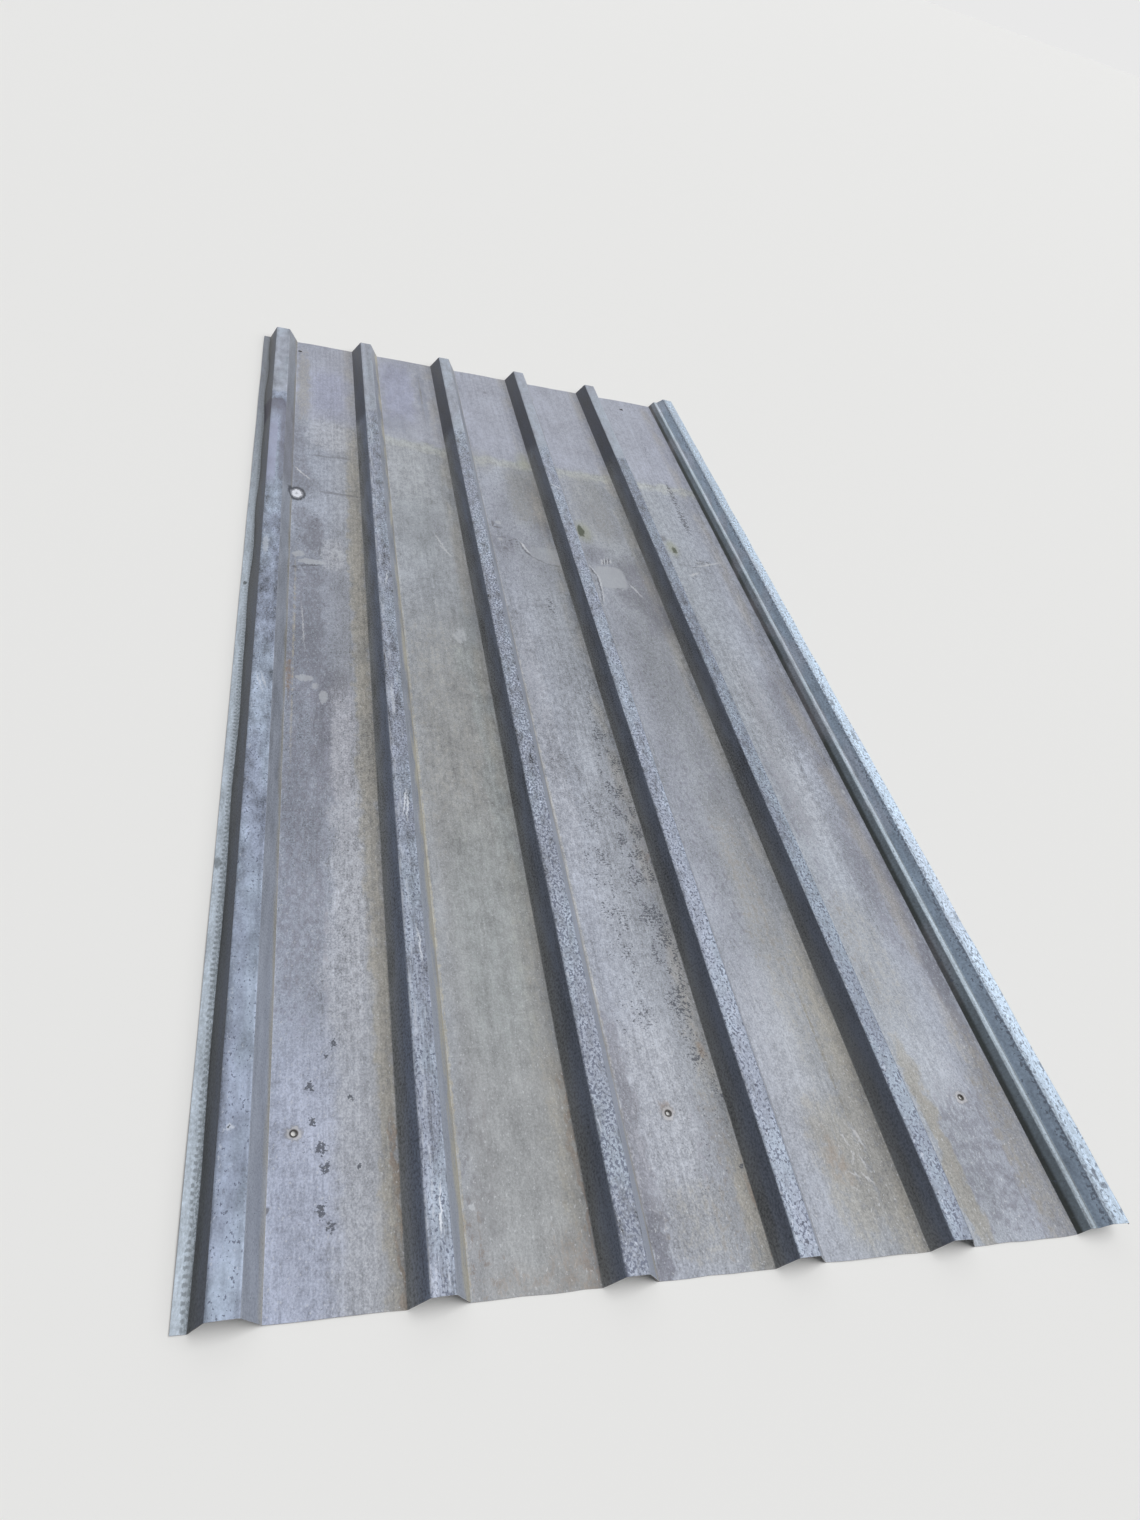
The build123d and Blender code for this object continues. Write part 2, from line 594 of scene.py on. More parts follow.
        # thin lines that taper towards both of their ends
        for shade, lines in self.look["scratches"]:
            masks = []
            for startX, startY, endX, endY, width, reach in lines:
                run = Vector((endX - startX, endY - startY))
                middle = Vector((endX + startX, endY + startY)) / 2
                if self.touches(middle.x, run.length / 2):
                    sockets = {"Vector": on, "Center": (*middle, 0), "Angle": -math.atan2(run.y, run.x)}
                    turned = self.node("ShaderNodeVectorRotate", {"rotation_type": "Z_AXIS"}, sockets)
                    masks.append(self.blot(turned, (*middle, run.length / 2, width, reach), 0.6))
            if masks:
                self.lay(self.together(masks), shade)

    def byRib(self, values):
        # a tone or an amount of up to 2 that differs from rib to rib
        ribs = len(values)
        tones = [value if isinstance(value, tuple) else (value / 2,) * 3 + (1,) for value in values]
        stops = [(rib / ribs, value) for rib, value in enumerate(tones)]
        place = self.across / (section["pitch"] * ribs)
        ramp = self.node("ShaderNodeValToRGB", {"stops": stops}, {"Fac": place})
        return ramp if isinstance(values[0], tuple) else ramp * 2


# The old line up to which the next sheet used to lie over this one
lapMark = {
    "line": 1864.0,        # along, at the right of the sheet
    "rise": 53.0,          # the line runs out this much further at the left edge
    "slope": 0.118,
    "ragged": 46.0,
}


def pastLapLine(paint):
    # distance beyond that line
    line = paint.vector("MULTIPLY_ADD", paint.place, (-lapMark["slope"], 0, 0), (lapMark["rise"], 0, 0))
    line = paint.parts(line)[0].larger(0.0) + lapMark["line"]
    return paint.along - line + (paint.cloud("lapLine") - 0.5) * lapMark["ragged"]


# Something was stuck on and torn off again: rings from the outside in
glueRings = [
    ((62, 65, 74), 0.09, None, [(46, 1566, 18.36, 27, 0.95)]),
    ((142, 145, 154), 0.09, None, [(46, 1566, 12.92, 19, 0.9)]),
    ((228, 231, 240), 0.09, None, [(46, 1566, 9.86, 14.5, 0.95)]),
    ((176, 179, 188), 0.09, None, [(46, 1566, 3.4, 5, 0.7)]),
]

# The pans: what lies open to rain, with dust, water stains and patina
panZinc = {
    # the right of each pan is darker: dirt, and painted shade beside the next rib's left slope
    "sides": [                      # left, middle and right of each pan
        ((153, 160, 175), (154, 160, 173), (148, 151, 157)),
        ((159, 164, 172), (153, 158, 165), (144, 148, 153)),
        ((155, 160, 172), (156, 161, 171), (143, 148, 156)),
        ((156, 161, 172), (151, 156, 164), (140, 144, 151)),
        ((155, 161, 170), (157, 163, 174), (147, 152, 165)),
    ],
    "sidePlaces": (0.22, 0.5, 0.80),
    "clouds": {                     # size, stretch, detail, seed and roughness
        "grain": (2.4, 1.3, 3, 1, 0.75), "mottle": (10, 1.5, 4, 2, 0.72), "blotch": (60, 2.4, 3, 3, 0.55),
        "streak": (5, 44, 2, 4, 0.55), "loose": (26, 1.6, 3, 5, 0.6), "rough": (5, 1.6, 3, 6, 0.6),
        "lapLine": (24, 1, 3, 7, 0.55), "fleck": (5, 2, 3, 18, 0.6), "smooth": (24, 1.8, 3, 24, 0.6),
        "spread": (20, 1.8, 3, 8, 0.7), "dot": (4.6, 0.62, 3, 9, 0.65), "coarseDot": (7, 0.75, 3, 19, 0.75),
        "speck": (3.6, 1.6, 2, 10, 0.6),
    },
    "grain": 1.15,                  # how strong the unevenness of each size is
    "mottle": 0.22,
    "fleck": 0.40,
    "blotch": 0.50,
    "streak": 0.36,
    "coarser": 0.30,                # how much more uneven it is farther from the front end
    # darker areas; the broad one from 400 to 1640 along is partly weathering and partly painted shade
    "darker": [
        (None, None, (400, 1020), (1020, 1640), 0.08), (None, None, None, (60, 420), 0.07),
        ((400, 450), None, None, (150, 320), 0.05), (None, (500, 600), (2120, 2300), None, 0.06),
    ],
    "smoother": [((189, 229), (398, 438), None, None, 0.30)],
    "rougher": [
        ((398, 438), (607, 647), None, (700, 1200), 0.15),
        ((18, 42), (144, 168), (280, 400), (900, 1020), 0.38),
        ((934, 962), (1006, 1034), (380, 500), (1040, 1160), 0.38),
    ],
    "beyond": (163, 167, 184),      # the part that the next sheet covered
    "lapBand": (178, 181, 176),
    "footDust": (146, 142, 133),
    "patches": [                    # tone, how much of it shows evenly and ragged, then its marks
        ((106, 107, 118), 0.20, 0.60, [      # dark patina
            (66, 600, 38, 290, 0.48), (68, 1110, 38, 260, 0.54), (78, 1425, 22, 66, 0.66),
            (54, 1478, 12, 44, 0.5), (112, 850, 34, 160, 0.76), (120, 1160, 26, 150, 0.28),
            # the marks at 44 and 56 across, 1630 to 1740 along, are painted shade beside the trodden-in
            # first rib
            (44, 1740, 20, 170, 0.5), (56, 1630, 26, 60, 0.46), (985, 570, 34, 150, 0.52),
            (990, 1010, 34, 110, 0.46), (575, 560, 24, 300, 0.26), (112, 690, 26, 90, 0.34),
            (562, 110, 30, 110, 0.34), (1014, 430, 13, 280, 0.62), (965, 130, 22, 110, 0.26),
            (892, 500, 14, 200, 0.3), (461, 140, 12, 200, 0.75), (750, 1370, 48, 90, 0.62),
            (300, 1500, 50, 80, 0.26), (480, 1480, 34, 40, 0.46), (955, 158, 26, 34, 0.35),
            (690, 1480, 34, 40, 0.42), (60, 80, 10, 60, 0.25), (725, 850, 62, 520, 0.33),
            (774, 1330, 36, 150, 0.64), (740, 1640, 30, 90, 0.34), (930, 1000, 26, 90, 0.34),
            (945, 110, 66, 100, 0.46), (576, 1650, 18, 120, 0.74), (1003, 760, 20, 130, 0.5),
            (38, 1340, 22, 60, 0.35), (520, 1540, 70, 220, 0.3), (895, 760, 24, 120, 0.46),
            (372, 1180, 14, 240, 0.25), (262, 150, 24, 130, 0.36), (465, 1000, 14, 120, 0.25),
        ]),
        ((182, 184, 191), 0.48, 0.10, [      # clean and pale
            (92, 140, 52, 170, 0.58), (120, 385, 27, 110, 0.62), (136, 120, 14, 150, 0.5),
            (128, 640, 20, 320, 0.7), (118, 1840, 50, 70, 0.6), (500, 200, 50, 120, 0.45),
            (930, 240, 36, 50, 0.28), (700, 260, 40, 150, 0.36), (920, 900, 30, 260, 0.42),
            (470, 900, 20, 300, 0.4), (118, 1350, 22, 50, 0.7), (280, 1740, 54, 130, 0.56),
        ]),
        ((145, 142, 133), 0.44, 0.28, [      # dust and dried mud
            # the marks at 163 to 167 across, at the foot of the second rib's left slope, are dust and
            # painted shade
            (167, 300, 10, 320, 0.75), (163, 1150, 15, 640, 0.9), (300, 900, 60, 300, 0.35),
            (785, 200, 24, 240, 0.72), (889, 130, 13, 150, 1), (912, 420, 36, 120, 0.35),
            (588, 60, 16, 80, 0.7), (55, 2090, 15, 190, 0.6), (520, 60, 46, 44, 0.4),
            (580, 170, 24, 180, 0.25), (734, 112, 36, 90, 0.74), (745, 480, 26, 240, 0.4),
            (1006, 130, 26, 170, 0.5), (370, 300, 22, 320, 0.35), (165, 1120, 8, 560, 0.45),
        ]),
        ((132, 132, 128), 0.50, 0.22, [      # olive film below the lap line
            (556, 1700, 40, 130, 0.6), (716, 1690, 44, 160, 0.46), (470, 1840, 24, 60, 0.4),
            (790, 1560, 14, 160, 0.5),
        ]),
        ((124, 106, 94), 0.36, 0.40, [      # rust and mud
            (173, 100, 4, 110, 0.66), (384, 150, 3.5, 110, 0.7), (372, 26, 44, 34, 0.44),
            (252, 40, 14, 60, 0.28), (320, 14, 60, 20, 0.35), (40, 985, 7, 46, 0.45),
            (600, 60, 6, 80, 0.5),
        ]),
        ((147, 147, 144), 0.50, 0.00, [(313, 430, 66, 620, 1)]),
        ((152, 161, 188), 0.45, 0.05, [(70, 110, 38, 210, 0.8)]),
        ((148, 153, 182), 0.55, 0.10, [(286, 2150, 40, 160, 0.8), (116, 2070, 40, 120, 0.6)]),
        ((128, 134, 150), 0.45, 0.25, [(348, 2150, 9, 150, 0.75), (268, 1960, 34, 40, 0.55)]),
        ((148, 156, 156), 0.50, 0.20, [
            (366, 850, 18, 380, 0.5), (320, 480, 46, 200, 0.35), (290, 1640, 40, 260, 0.25),
            (355, 1060, 30, 44, 0.5),
        ]),
    ],
    "stripes": [                    # thin lines of dust and dirt beside the bends
        ((174, 169, 152), [(243, 560, 2, 620, 0.6), (48, 1080, 2, 260, 0.5), (452, 700, 2, 500, 0.35)]),
        ((96, 90, 82), [(174, 60, 1.6, 90, 0.5), (41, 960, 2, 60, 0.45), (386.5, 130, 1.4, 130, 0.75)]),
        ((118, 114, 104), [(762.5, 290, 1.6, 130, 0.7), (766, 120, 1.2, 60, 0.45)]),
        ((118, 114, 104), [(346, 2120, 2, 120, 0.5)]),
    ],
    "wiped": (166, 170, 177),
    "wipedPlaces": [(704, 1396, 33, 42, 0.8), (564, 1450, 34, 31, 0.42)],
    "marks": [
        ((184, 188, 194), 0.5, (0.7, 0.38, 0.66, 0.55), [     # pale, worn places
            (76, 1320, 27, 9, 0.9), (52, 1343, 14, 13, 0.7), (80, 1355, 7, 7, 0.55),
            (126, 1352, 24, 26, 0.5), (345, 1132, 16, 26, 0.62), (253, 96, 4, 3, 0.9),
            (68, 974, 16, 9, 0.8), (98, 930, 9, 17, 0.75), (84, 955, 8, 10, 0.6), (1018, 780, 4, 7, 0.6),
            (690, 1745, 10, 22, 0.4), (474, 1562, 8, 8, 0.8), (950, 1506, 22, 6, 0.6),
            (470, 1494, 8, 8, 0.6),
        ]),
        ((134, 116, 100), 0.7, (1, 0.1, 0.7, 0.6), [          # brown stains with a clearer outline
            (511, 196, 9, 11, 0.55), (722, 120, 17, 34, 0.36), (735, 95, 10, 14, 0.28),
            (41, 985, 5, 42, 0.5), (586, 612, 9, 12, 0.35), (584, 275, 8, 14, 0.4),
        ]),
        ((152, 156, 136), 0.6, None, [                        # round the moss
            (675, 1574, 18, 40, 0.55), (891, 1556, 13, 30, 0.6), (575, 1868, 16, 40, 0.35),
        ]),
        ((76, 82, 68), 0.6, (1.2, 0.3, 0.7, 1), [             # moss
            (669, 1575, 8, 25, 0.95), (893, 1547, 6, 14, 0.9),
        ]),
        ((98, 99, 106), 0.5, None, [
            (37, 108, 2.6, 2.6, 0.9), (46, 1297, 3.4, 3.6, 0.9), (102, 1741, 24, 4, 0.5),
            (140, 1746, 22, 5, 0.5), (130, 1587, 44, 4.5, 0.55), (877, 1594, 9, 13, 0.6),
            (525, 2230, 5, 8, 0.5), (470, 1542, 10, 4, 0.7), (461, 1556, 3, 14, 0.7),
            (477, 1460, 5, 7, 0.6), (195, 2040, 4, 14, 0.6),
        ]),
        *glueRings,
        ((124, 124, 128), 0.15, None, [                       # what the washers left
            (63, 190, 10, 10, 0.55), (512, 190, 10, 10, 0.45), (951, 190, 10, 10, 0.45),
        ]),
        ((196, 196, 198), 0.15, None, [
            (63, 190, 8, 8, 0.55), (512, 190, 8, 8, 0.45), (951, 190, 8, 8, 0.45),
        ]),
    ],
    "scratches": [                  # tone, then lines: start and end, half width and strength
        ((202, 204, 209), [
            (42, 1676, 60, 1648, 1.6, 0.9), (58, 1650, 72, 1636, 1.6, 0.8),
            (327, 1478, 346, 1420, 1.6, 0.6), (333, 1440, 356, 1400, 1.8, 0.6),
            (664, 1430, 675, 1390, 1.6, 0.7), (675, 1394, 672, 1334, 1.6, 0.7),
            (672, 1340, 667, 1300, 1.5, 0.5), (516, 1490, 523, 1466, 2.6, 0.8),
            (522, 1468, 530, 1452, 2.4, 0.7), (692, 1442, 696, 1464, 1.7, 0.7),
            (699, 1446, 703, 1468, 1.7, 0.7), (706, 1449, 710, 1470, 1.7, 0.7),
            (713, 1452, 717, 1468, 1.7, 0.6), (742, 1378, 760, 1336, 2.2, 0.6),
            (905, 1446, 930, 1462, 3, 0.6), (936, 1488, 1000, 1518, 3, 0.5),
            (60, 1180, 66, 1060, 1.2, 0.5), (762, 158, 770, 134, 1.8, 0.42),
            (750, 100, 764, 84, 1.4, 0.36), (742, 152, 749, 134, 1.3, 0.36),
            (752, 128, 744, 112, 1.3, 0.36), (734, 102, 748, 94, 1.3, 0.36),
            (757, 122, 762, 104, 1.3, 0.36), (729, 84, 739, 76, 1.3, 0.3),
        ]),
        ((88, 90, 98), [
            (660, 1430, 671, 1392, 1.7, 0.85), (671, 1396, 668, 1334, 1.7, 0.85),
            (668, 1338, 663, 1298, 1.6, 0.7), (513, 1488, 518, 1462, 2.4, 0.7),
            (517, 1464, 532, 1438, 2.6, 0.8), (531, 1440, 562, 1418, 2.4, 0.6),
            (560, 1419, 592, 1414, 2, 0.4), (54, 1304, 94, 1311, 3, 0.75),
            (702, 1352, 722, 1359, 1.8, 0.6), (696, 1446, 699, 1464, 1.5, 0.8),
            (703, 1449, 706, 1466, 1.5, 0.8), (710, 1451, 713, 1468, 1.5, 0.8),
            (93, 1372, 90, 1340, 1.8, 0.6), (96, 1378, 104, 1376, 1.6, 0.6),
            (906, 1440, 912, 1434, 1.6, 0.8), (918, 1480, 934, 1486, 1.6, 0.7),
            (940, 1500, 958, 1508, 1.6, 0.7), (924, 1412, 930, 1406, 1.6, 0.7),
        ]),
    ],
    # a near-black ring round each screw hole: painted shade that makes the hole read dark
    "bore": ((48, 44, 42), 0.2, 5.0, 0.97),    # tone, softness, half size and strength
    "dots": (62, 66, 76),
    "dotPlaces": [
        (572, 640, 28, 400, 0.98), (510, 560, 26, 240, 0.76), (500, 330, 30, 60, 0.6),
        (72, 1100, 34, 320, 0.4), (128, 900, 22, 220, 0.4), (980, 1100, 30, 120, 0.3),
        (92, 180, 40, 160, 0.24), (540, 140, 30, 120, 0.36), (575, 215, 20, 60, 0.6),
    ],
    "coarsePlaces": [               # where the dots are larger
        (961, 1810, 8, 90, 0.9), (958, 1690, 11, 80, 0.95), (990, 1660, 18, 60, 0.46),
        (975, 1790, 24, 80, 0.42), (945, 2050, 12, 60, 0.5), (545, 1262, 11, 50, 0.7),
        (960, 1508, 30, 16, 0.8), (916, 1446, 12, 12, 0.7), (490, 1490, 34, 30, 0.6),
        (655, 1480, 16, 30, 0.55), (80, 1480, 20, 40, 0.55), (575, 470, 18, 60, 0.65),
        (572, 345, 20, 40, 0.8), (575, 265, 14, 18, 0.85), (512, 325, 18, 24, 0.7),
        (1000, 1040, 16, 60, 0.45), (84, 1300, 30, 40, 0.35),
    ],
    "clumps": [
        (80, 246, 5, 6.5, 0.75), (83, 203, 4, 5.2, 0.75), (93, 172, 6, 7.8, 0.75), (97, 150, 5, 6.5, 0.75),
        (92, 104, 6, 7.8, 0.75), (103, 88, 5, 6.5, 0.75), (107, 300, 4, 5.2, 0.75),
        (98, 284, 3, 3.9, 0.75), (133, 150, 3, 3.9, 0.75), (126, 230, 3, 3.9, 0.75),
        (596, 210, 4, 5.2, 0.75), (590, 120, 3, 3.9, 0.75),
    ],
    "specks": (190, 193, 198),
}


def panColour(paint):
    pans = panZinc["sides"]
    stops = [((number + place) / len(pans), tone(shade)) for number, tones in enumerate(pans)
             for place, shade in zip(panZinc["sidePlaces"], tones)]
    place = paint.across / (section["pitch"] * len(pans))
    return paint.node("ShaderNodeValToRGB", {"stops": stops}, {"Fac": place})


def layPatches(paint, loose, rough, unevenness, streaked):
    # broad patches with ragged edges, and thin broken stripes
    for shade, even, broken, marks in panZinc["patches"]:
        mask = paint.blots(loose, marks, 0.75, full=True)
        if mask:
            paint.lay(paint.ragged(mask, unevenness) * broken + mask * even, shade)
    for shade, marks in panZinc["stripes"]:
        lines = paint.blots(rough, marks, 0.6)
        if lines:
            paint.lay(lines * paint.step(streaked, 0.40, 0.54), shade)


def layMarks(paint, rough, unevenness):
    # scuffs, stains, moss, scratches and painted shade round the screw holes, each where it lies
    wiped = paint.blots(rough, panZinc["wipedPlaces"], 0.2, full=True)
    if wiped:
        paint.lay(wiped, "wiped")
    paint.mark(rough, panZinc["marks"], unevenness)
    paint.scratch(rough)
    # painted shade round each screw hole
    shade, soft, half, strength = panZinc["bore"]
    bores = [(across, along, half, half, strength) for across, along in holeCentres()]
    paint.mark(paint.place, [(shade, soft, None, bores)])


def panFinish(number):
    pitch, foot = section["pitch"], section["base"] / 2
    span = (number * pitch + foot, (number + 1) * pitch - foot)
    paint = ZincPaint("weathered_pan_%d" % (number + 1), panZinc, span)
    fromRib = paint.fromRib()
    grain, mottle, blotch, streak = [paint.cloud(name) for name in ("grain", "mottle", "blotch", "streak")]
    loose, rough = paint.strayed("loose", 34), paint.strayed("rough", 7)
    paint.colour = panColour(paint)

    # where the next sheet lay: bluer and cleaner, with a thin greenish band along the old line
    past = pastLapLine(paint)
    beyond = paint.step(past, -10, 12)
    paint.lay(beyond * 0.6, "beyond")
    onLine = paint.band(past, -40, -4, 13, 0.5) * paint.step(mottle, 0.0, 0.5)
    paint.lay(onLine * paint.step(paint.across, 140, 300), "lapBand")

    unevenness = (mottle - 0.5) * 2.4 + (streak - 0.5) * 0.8 + (grain - 0.5) * 0.9
    layPatches(paint, loose, rough, unevenness, streak * 0.5 + mottle * 0.5)

    # dust at the foot of each left slope
    dust = paint.band(fromRib + (mottle - 0.5) * 22, -56, -30, 9) * paint.step(blotch, 0.36, 0.6, 0.42)
    paint.lay(dust, "footDust")

    # unevenness of all sizes
    uneven = (grain - 0.5) * panZinc["grain"] + paint.step(mottle, 0.36, 0.64, panZinc["mottle"])
    uneven += (blotch - 0.5) * panZinc["blotch"] + (streak - 0.5) * panZinc["streak"]
    uneven += (paint.cloud("fleck") - 0.5) * panZinc["fleck"]
    smoother = paint.areas("smoother")
    coarser = paint.step(paint.along, 300, 900, panZinc["coarser"])
    uneven *= coarser + 1 - beyond * 0.35 - smoother + paint.areas("rougher")
    uneven += (paint.cloud("smooth") - 0.5) * (smoother * 1.2 + 0.15)
    # darker areas, and painted shade on each pan along the foot of the next left slope
    darker = paint.areas("darker") + paint.band(fromRib, -43, -28, 6, 0.08)
    paint.shade(uneven + 1 - panZinc["mottle"] / 2 - darker)

    # dark dots, spread thinly or in clumps
    spread = paint.step(paint.cloud("spread"), 0.46, 0.56)
    share = spread * paint.blots(loose, panZinc["dotPlaces"], 0.5) + 0.06
    clumps = paint.cloud("dot") + share * 0.28 + paint.blots(rough, panZinc["clumps"], 0.7) * 0.5
    coarse = paint.cloud("coarseDot") + paint.blots(rough, panZinc["coarsePlaces"], 0.7) * 0.34
    dots = paint.step(clumps, 0.76, 0.81).larger(paint.step(coarse, 0.76, 0.84))
    paint.lay(dots * 0.84, "dots")
    paint.lay(paint.step(paint.cloud("speck"), 0.66, 0.74) * 0.5, "specks")

    layMarks(paint, rough, mottle - 0.5)
    roughness = (mottle - 0.5) * 0.3 + 0.52 - beyond * 0.05
    return paint.finish(paint.colour, 0.35, roughness, bump=grain, strength=0.35)


# The crests: worn by feet and by what was stacked on them
crestZinc = {
    "tones": [(149, 159, 180), (148, 155, 171), (153, 160, 175), (159, 167, 184), (136, 145, 161)],
    "dotShares": [0.00, 0.01, 0.08, 0.045, 0.05],       # rib by rib, as the tones
    "wornShares": [0.00, 0.10, 0.03, 0.045, 0.03],
    "clouds": {                     # size, stretch, detail, seed and roughness
        "fine": (2.8, 1.2, 2, 12, 0.65), "patch": (13, 2.2, 3, 13, 0.62), "slow": (60, 2.5, 2, 14, 0.55),
        "rough": (6, 1.6, 3, 15, 0.6), "lapLine": (24, 1, 3, 11, 0.55), "drawn": (3.5, 14, 3, 16, 0.66),
        "broad": (30, 2, 2, 29, 0.55), "dot": (3.4, 1.4, 2, 18, 0.6), "sparseDot": (6, 1.1, 2, 28, 0.6),
        "streak": (5, 10, 4, 20, 0.7), "fleck": (5, 2.0, 3, 17, 0.65),
    },
    "darker": [
        ((-31, -29), (39, 41), (860, 1040), (1630, 1810), 0.14), ((8, 13), (39, 41), None, None, 0.13),
        ((371, 389), (651, 669), None, (120, 340), 0.13), ((371, 389), (451, 469), None, (120, 340), 0.07),
        ((387, 389), (447, 449), (1170, 1390), (1580, 1800), -0.13),
        ((599, 601), (659, 661), (310, 490), (530, 710), -0.06), ((204, 212), (238, 240), None, None, 0.16),
    ],
    "lilacPlaces": [((-32, -28), (-1, 3), (1520, 1600), (1790, 1870), 0.75)],
    "beyond": (164, 170, 183),
    "pale": (150, 166, 178),
    "dots": (82, 88, 106),
    "sparseDots": (72, 76, 90),
    "worn": (187, 193, 205),
    "lilac": (156, 161, 186),
    # painted shade on the crest below the trodden-in edge
    "pressedShade": (98, 98, 114),
    "pressedShadePlaces": {"top": 1930, "fade": 1820, "long": 1530},
    "marks": [
        ((200, 206, 216), 0.3, None, [
            (-5, 187, 3.6, 4.2, 0.6), (-8, 1320, 5, 30, 0.4), (205, 905, 3, 40, 0.4),
        ]),
        ((64, 66, 74), 0.3, None, [(-5, 187, 1.3, 1.5, 0.9), (-6, 120, 1.5, 2, 0.4)]),
    ],
    "scratches": [
        ((214, 219, 228), [
            (211, 60, 214, 110, 1.2, 0.8), (216, 400, 213, 450, 1.2, 0.7), (208, 655, 214, 700, 1.4, 0.9),
            (212, 640, 216, 690, 1.2, 0.8), (210, 1230, 214, 1275, 1.4, 0.6),
            (618, 1720, 636, 1705, 2, 0.8), (-8, 940, 2, 900, 1.4, 0.5), (-2, 945, 6, 910, 1.2, 0.5),
        ]),
    ],
}


def crestFinish():
    paint = ZincPaint("weathered_crests", crestZinc)
    along, pitch, fromRib = paint.along, section["pitch"], paint.fromRib()
    beyond = paint.step(pastLapLine(paint), 40, 60)
    fine, patch, slow = paint.cloud("fine"), paint.cloud("patch"), paint.cloud("slow")
    rough = paint.strayed("rough", 8)
    onFirst = paint.band(paint.across, -30, 40, 1)
    onSecond = paint.band(paint.across, pitch - 30, pitch + 30, 1)
    onLast = paint.step(paint.across, 520, 600)
    paint.colour = paint.byRib([tone(shade) for shade in crestZinc["tones"]])
    paint.lay(beyond * 0.8, "beyond")
    paint.lay(paint.step(slow, 0.40, 0.62, 0.30), "pale")

    uneven = (patch - 0.5) * (1.9 - onSecond * 0.5 - onFirst * 0.9 - onLast * 0.5)
    drawn = (paint.cloud("drawn") - 0.5) * (onSecond * 1.7 + 0.2) * paint.step(along, 900, 200, 0.76)
    uneven += (fine - 0.5) * (1.3 - onFirst * 0.6 - onLast * 0.3) + drawn
    uneven *= paint.step(along, 300, 900, 0.76) + 0.84 - beyond * 0.9
    uneven += (slow - 0.5) * 0.6 + (paint.cloud("broad") - 0.5) * onFirst * 1.1
    # painted shade along the left edge of each crest, where it turns down to the left slope
    darker = paint.areas("darker") + paint.step(fromRib, -7, -13, 0.12)
    paint.shade(uneven + 1 - darker)

    bare = 1 - beyond * 0.7
    dots = paint.cloud("dot") + (patch - 0.5) * 0.5 + paint.byRib(crestZinc["dotShares"]) - onFirst * 0.05
    paint.lay(paint.step(dots, 0.60, 0.67) * bare * 0.8, "dots")
    sparse = paint.step(paint.cloud("sparseDot"), 0.66, 0.69) * onLast * bare
    paint.lay(sparse * 0.9, "sparseDots")

    # pale wear: in streaks along the left of the second rib, in a few flecks on the others
    streaks = paint.cloud("streak") + paint.step(fromRib, 1, -8, 0.10) - 0.05
    flecks = paint.cloud("fleck") + paint.step(fromRib, -3, -12, 0.06) - 0.02
    worn = streaks * onSecond + flecks * (1 - onSecond) + paint.byRib(crestZinc["wornShares"])
    worn = paint.step(worn, 0.66, 0.74) * bare
    paint.lay(worn * (0.5 - onSecond * 0.06), "worn")

    # the overlap rib was trodden in: painted shade below its sharp edge, longest on its right side
    pressedShade = crestZinc["pressedShadePlaces"]
    top = pressedShade["top"]
    whole = paint.step(along, pressedShade["fade"], top - 30)
    side = paint.step(fromRib, 1, 10) * paint.step(along, pressedShade["long"], pressedShade["long"] + 90, 0.8)
    dark = whole.larger(side) * paint.step(along + (patch - 0.5) * 30, top + 5, top - 5)
    paint.lay(paint.areas("lilacPlaces"), "lilac")
    paint.lay(dark * paint.step(paint.across, 40, 30, 0.75), "pressedShade")

    paint.mark(rough, crestZinc["marks"])
    paint.scratch(rough)
    roughness = (patch - 0.5) * 0.3 + 0.48 - worn * 0.06
    return paint.finish(paint.colour, 0.38, roughness, bump=fine, strength=0.35)


# The slopes: the outer ones hold more grime than the inner ones, and the left-facing ones carry painted
# shade
slopeZinc = {
    # the left-facing slopes are painted dark, partly grime and partly painted shade
    "leftTopShaded": (90, 97, 111),
    "leftFootShaded": (112, 114, 115),
    "right": (143, 149, 161),
    "rightFoot": (152, 151, 146),
    "leftShares": [0.78, 1.80, 1.12, 1.06, 0.95],     # how bright the slopes are, rib by rib
    "rightShares": [0.95, 1.08, 1.05, 1.06, 0.99],
    "clouds": {                     # size, stretch, detail, seed and roughness
        "run": (14, 6, 3, 21, 0.6), "fine": (2.6, 1.4, 2, 22, 0.6), "slow": (120, 2, 2, 23, 0.55),
        "rough": (5, 1.6, 3, 6, 0.6),
    },
    "surface": (1.2, 3.7),          # how far the clouds move sideways by height, and from rib to rib
    "beyond": (58, 62, 76),
    "dust": (172, 166, 144),
    "dots": (56, 60, 70),
    # painted shade on the first rib's right slope below the trodden-in edge
    "pressedShade": (108, 109, 120),
    "pressedShadePlaces": [((11, 17), (37, 43), (1560, 1620), (1900, 1960), 0.6)],
    # a painted shadow at the top of the first rib's left slope, under the trodden-in edge
    "pressedLeftShadow": (50, 48, 66),
    "pressedLeftShadowPlaces": [(None, (-16, -8), (1833, 1857), (1928, 1952), 0.95)],
}


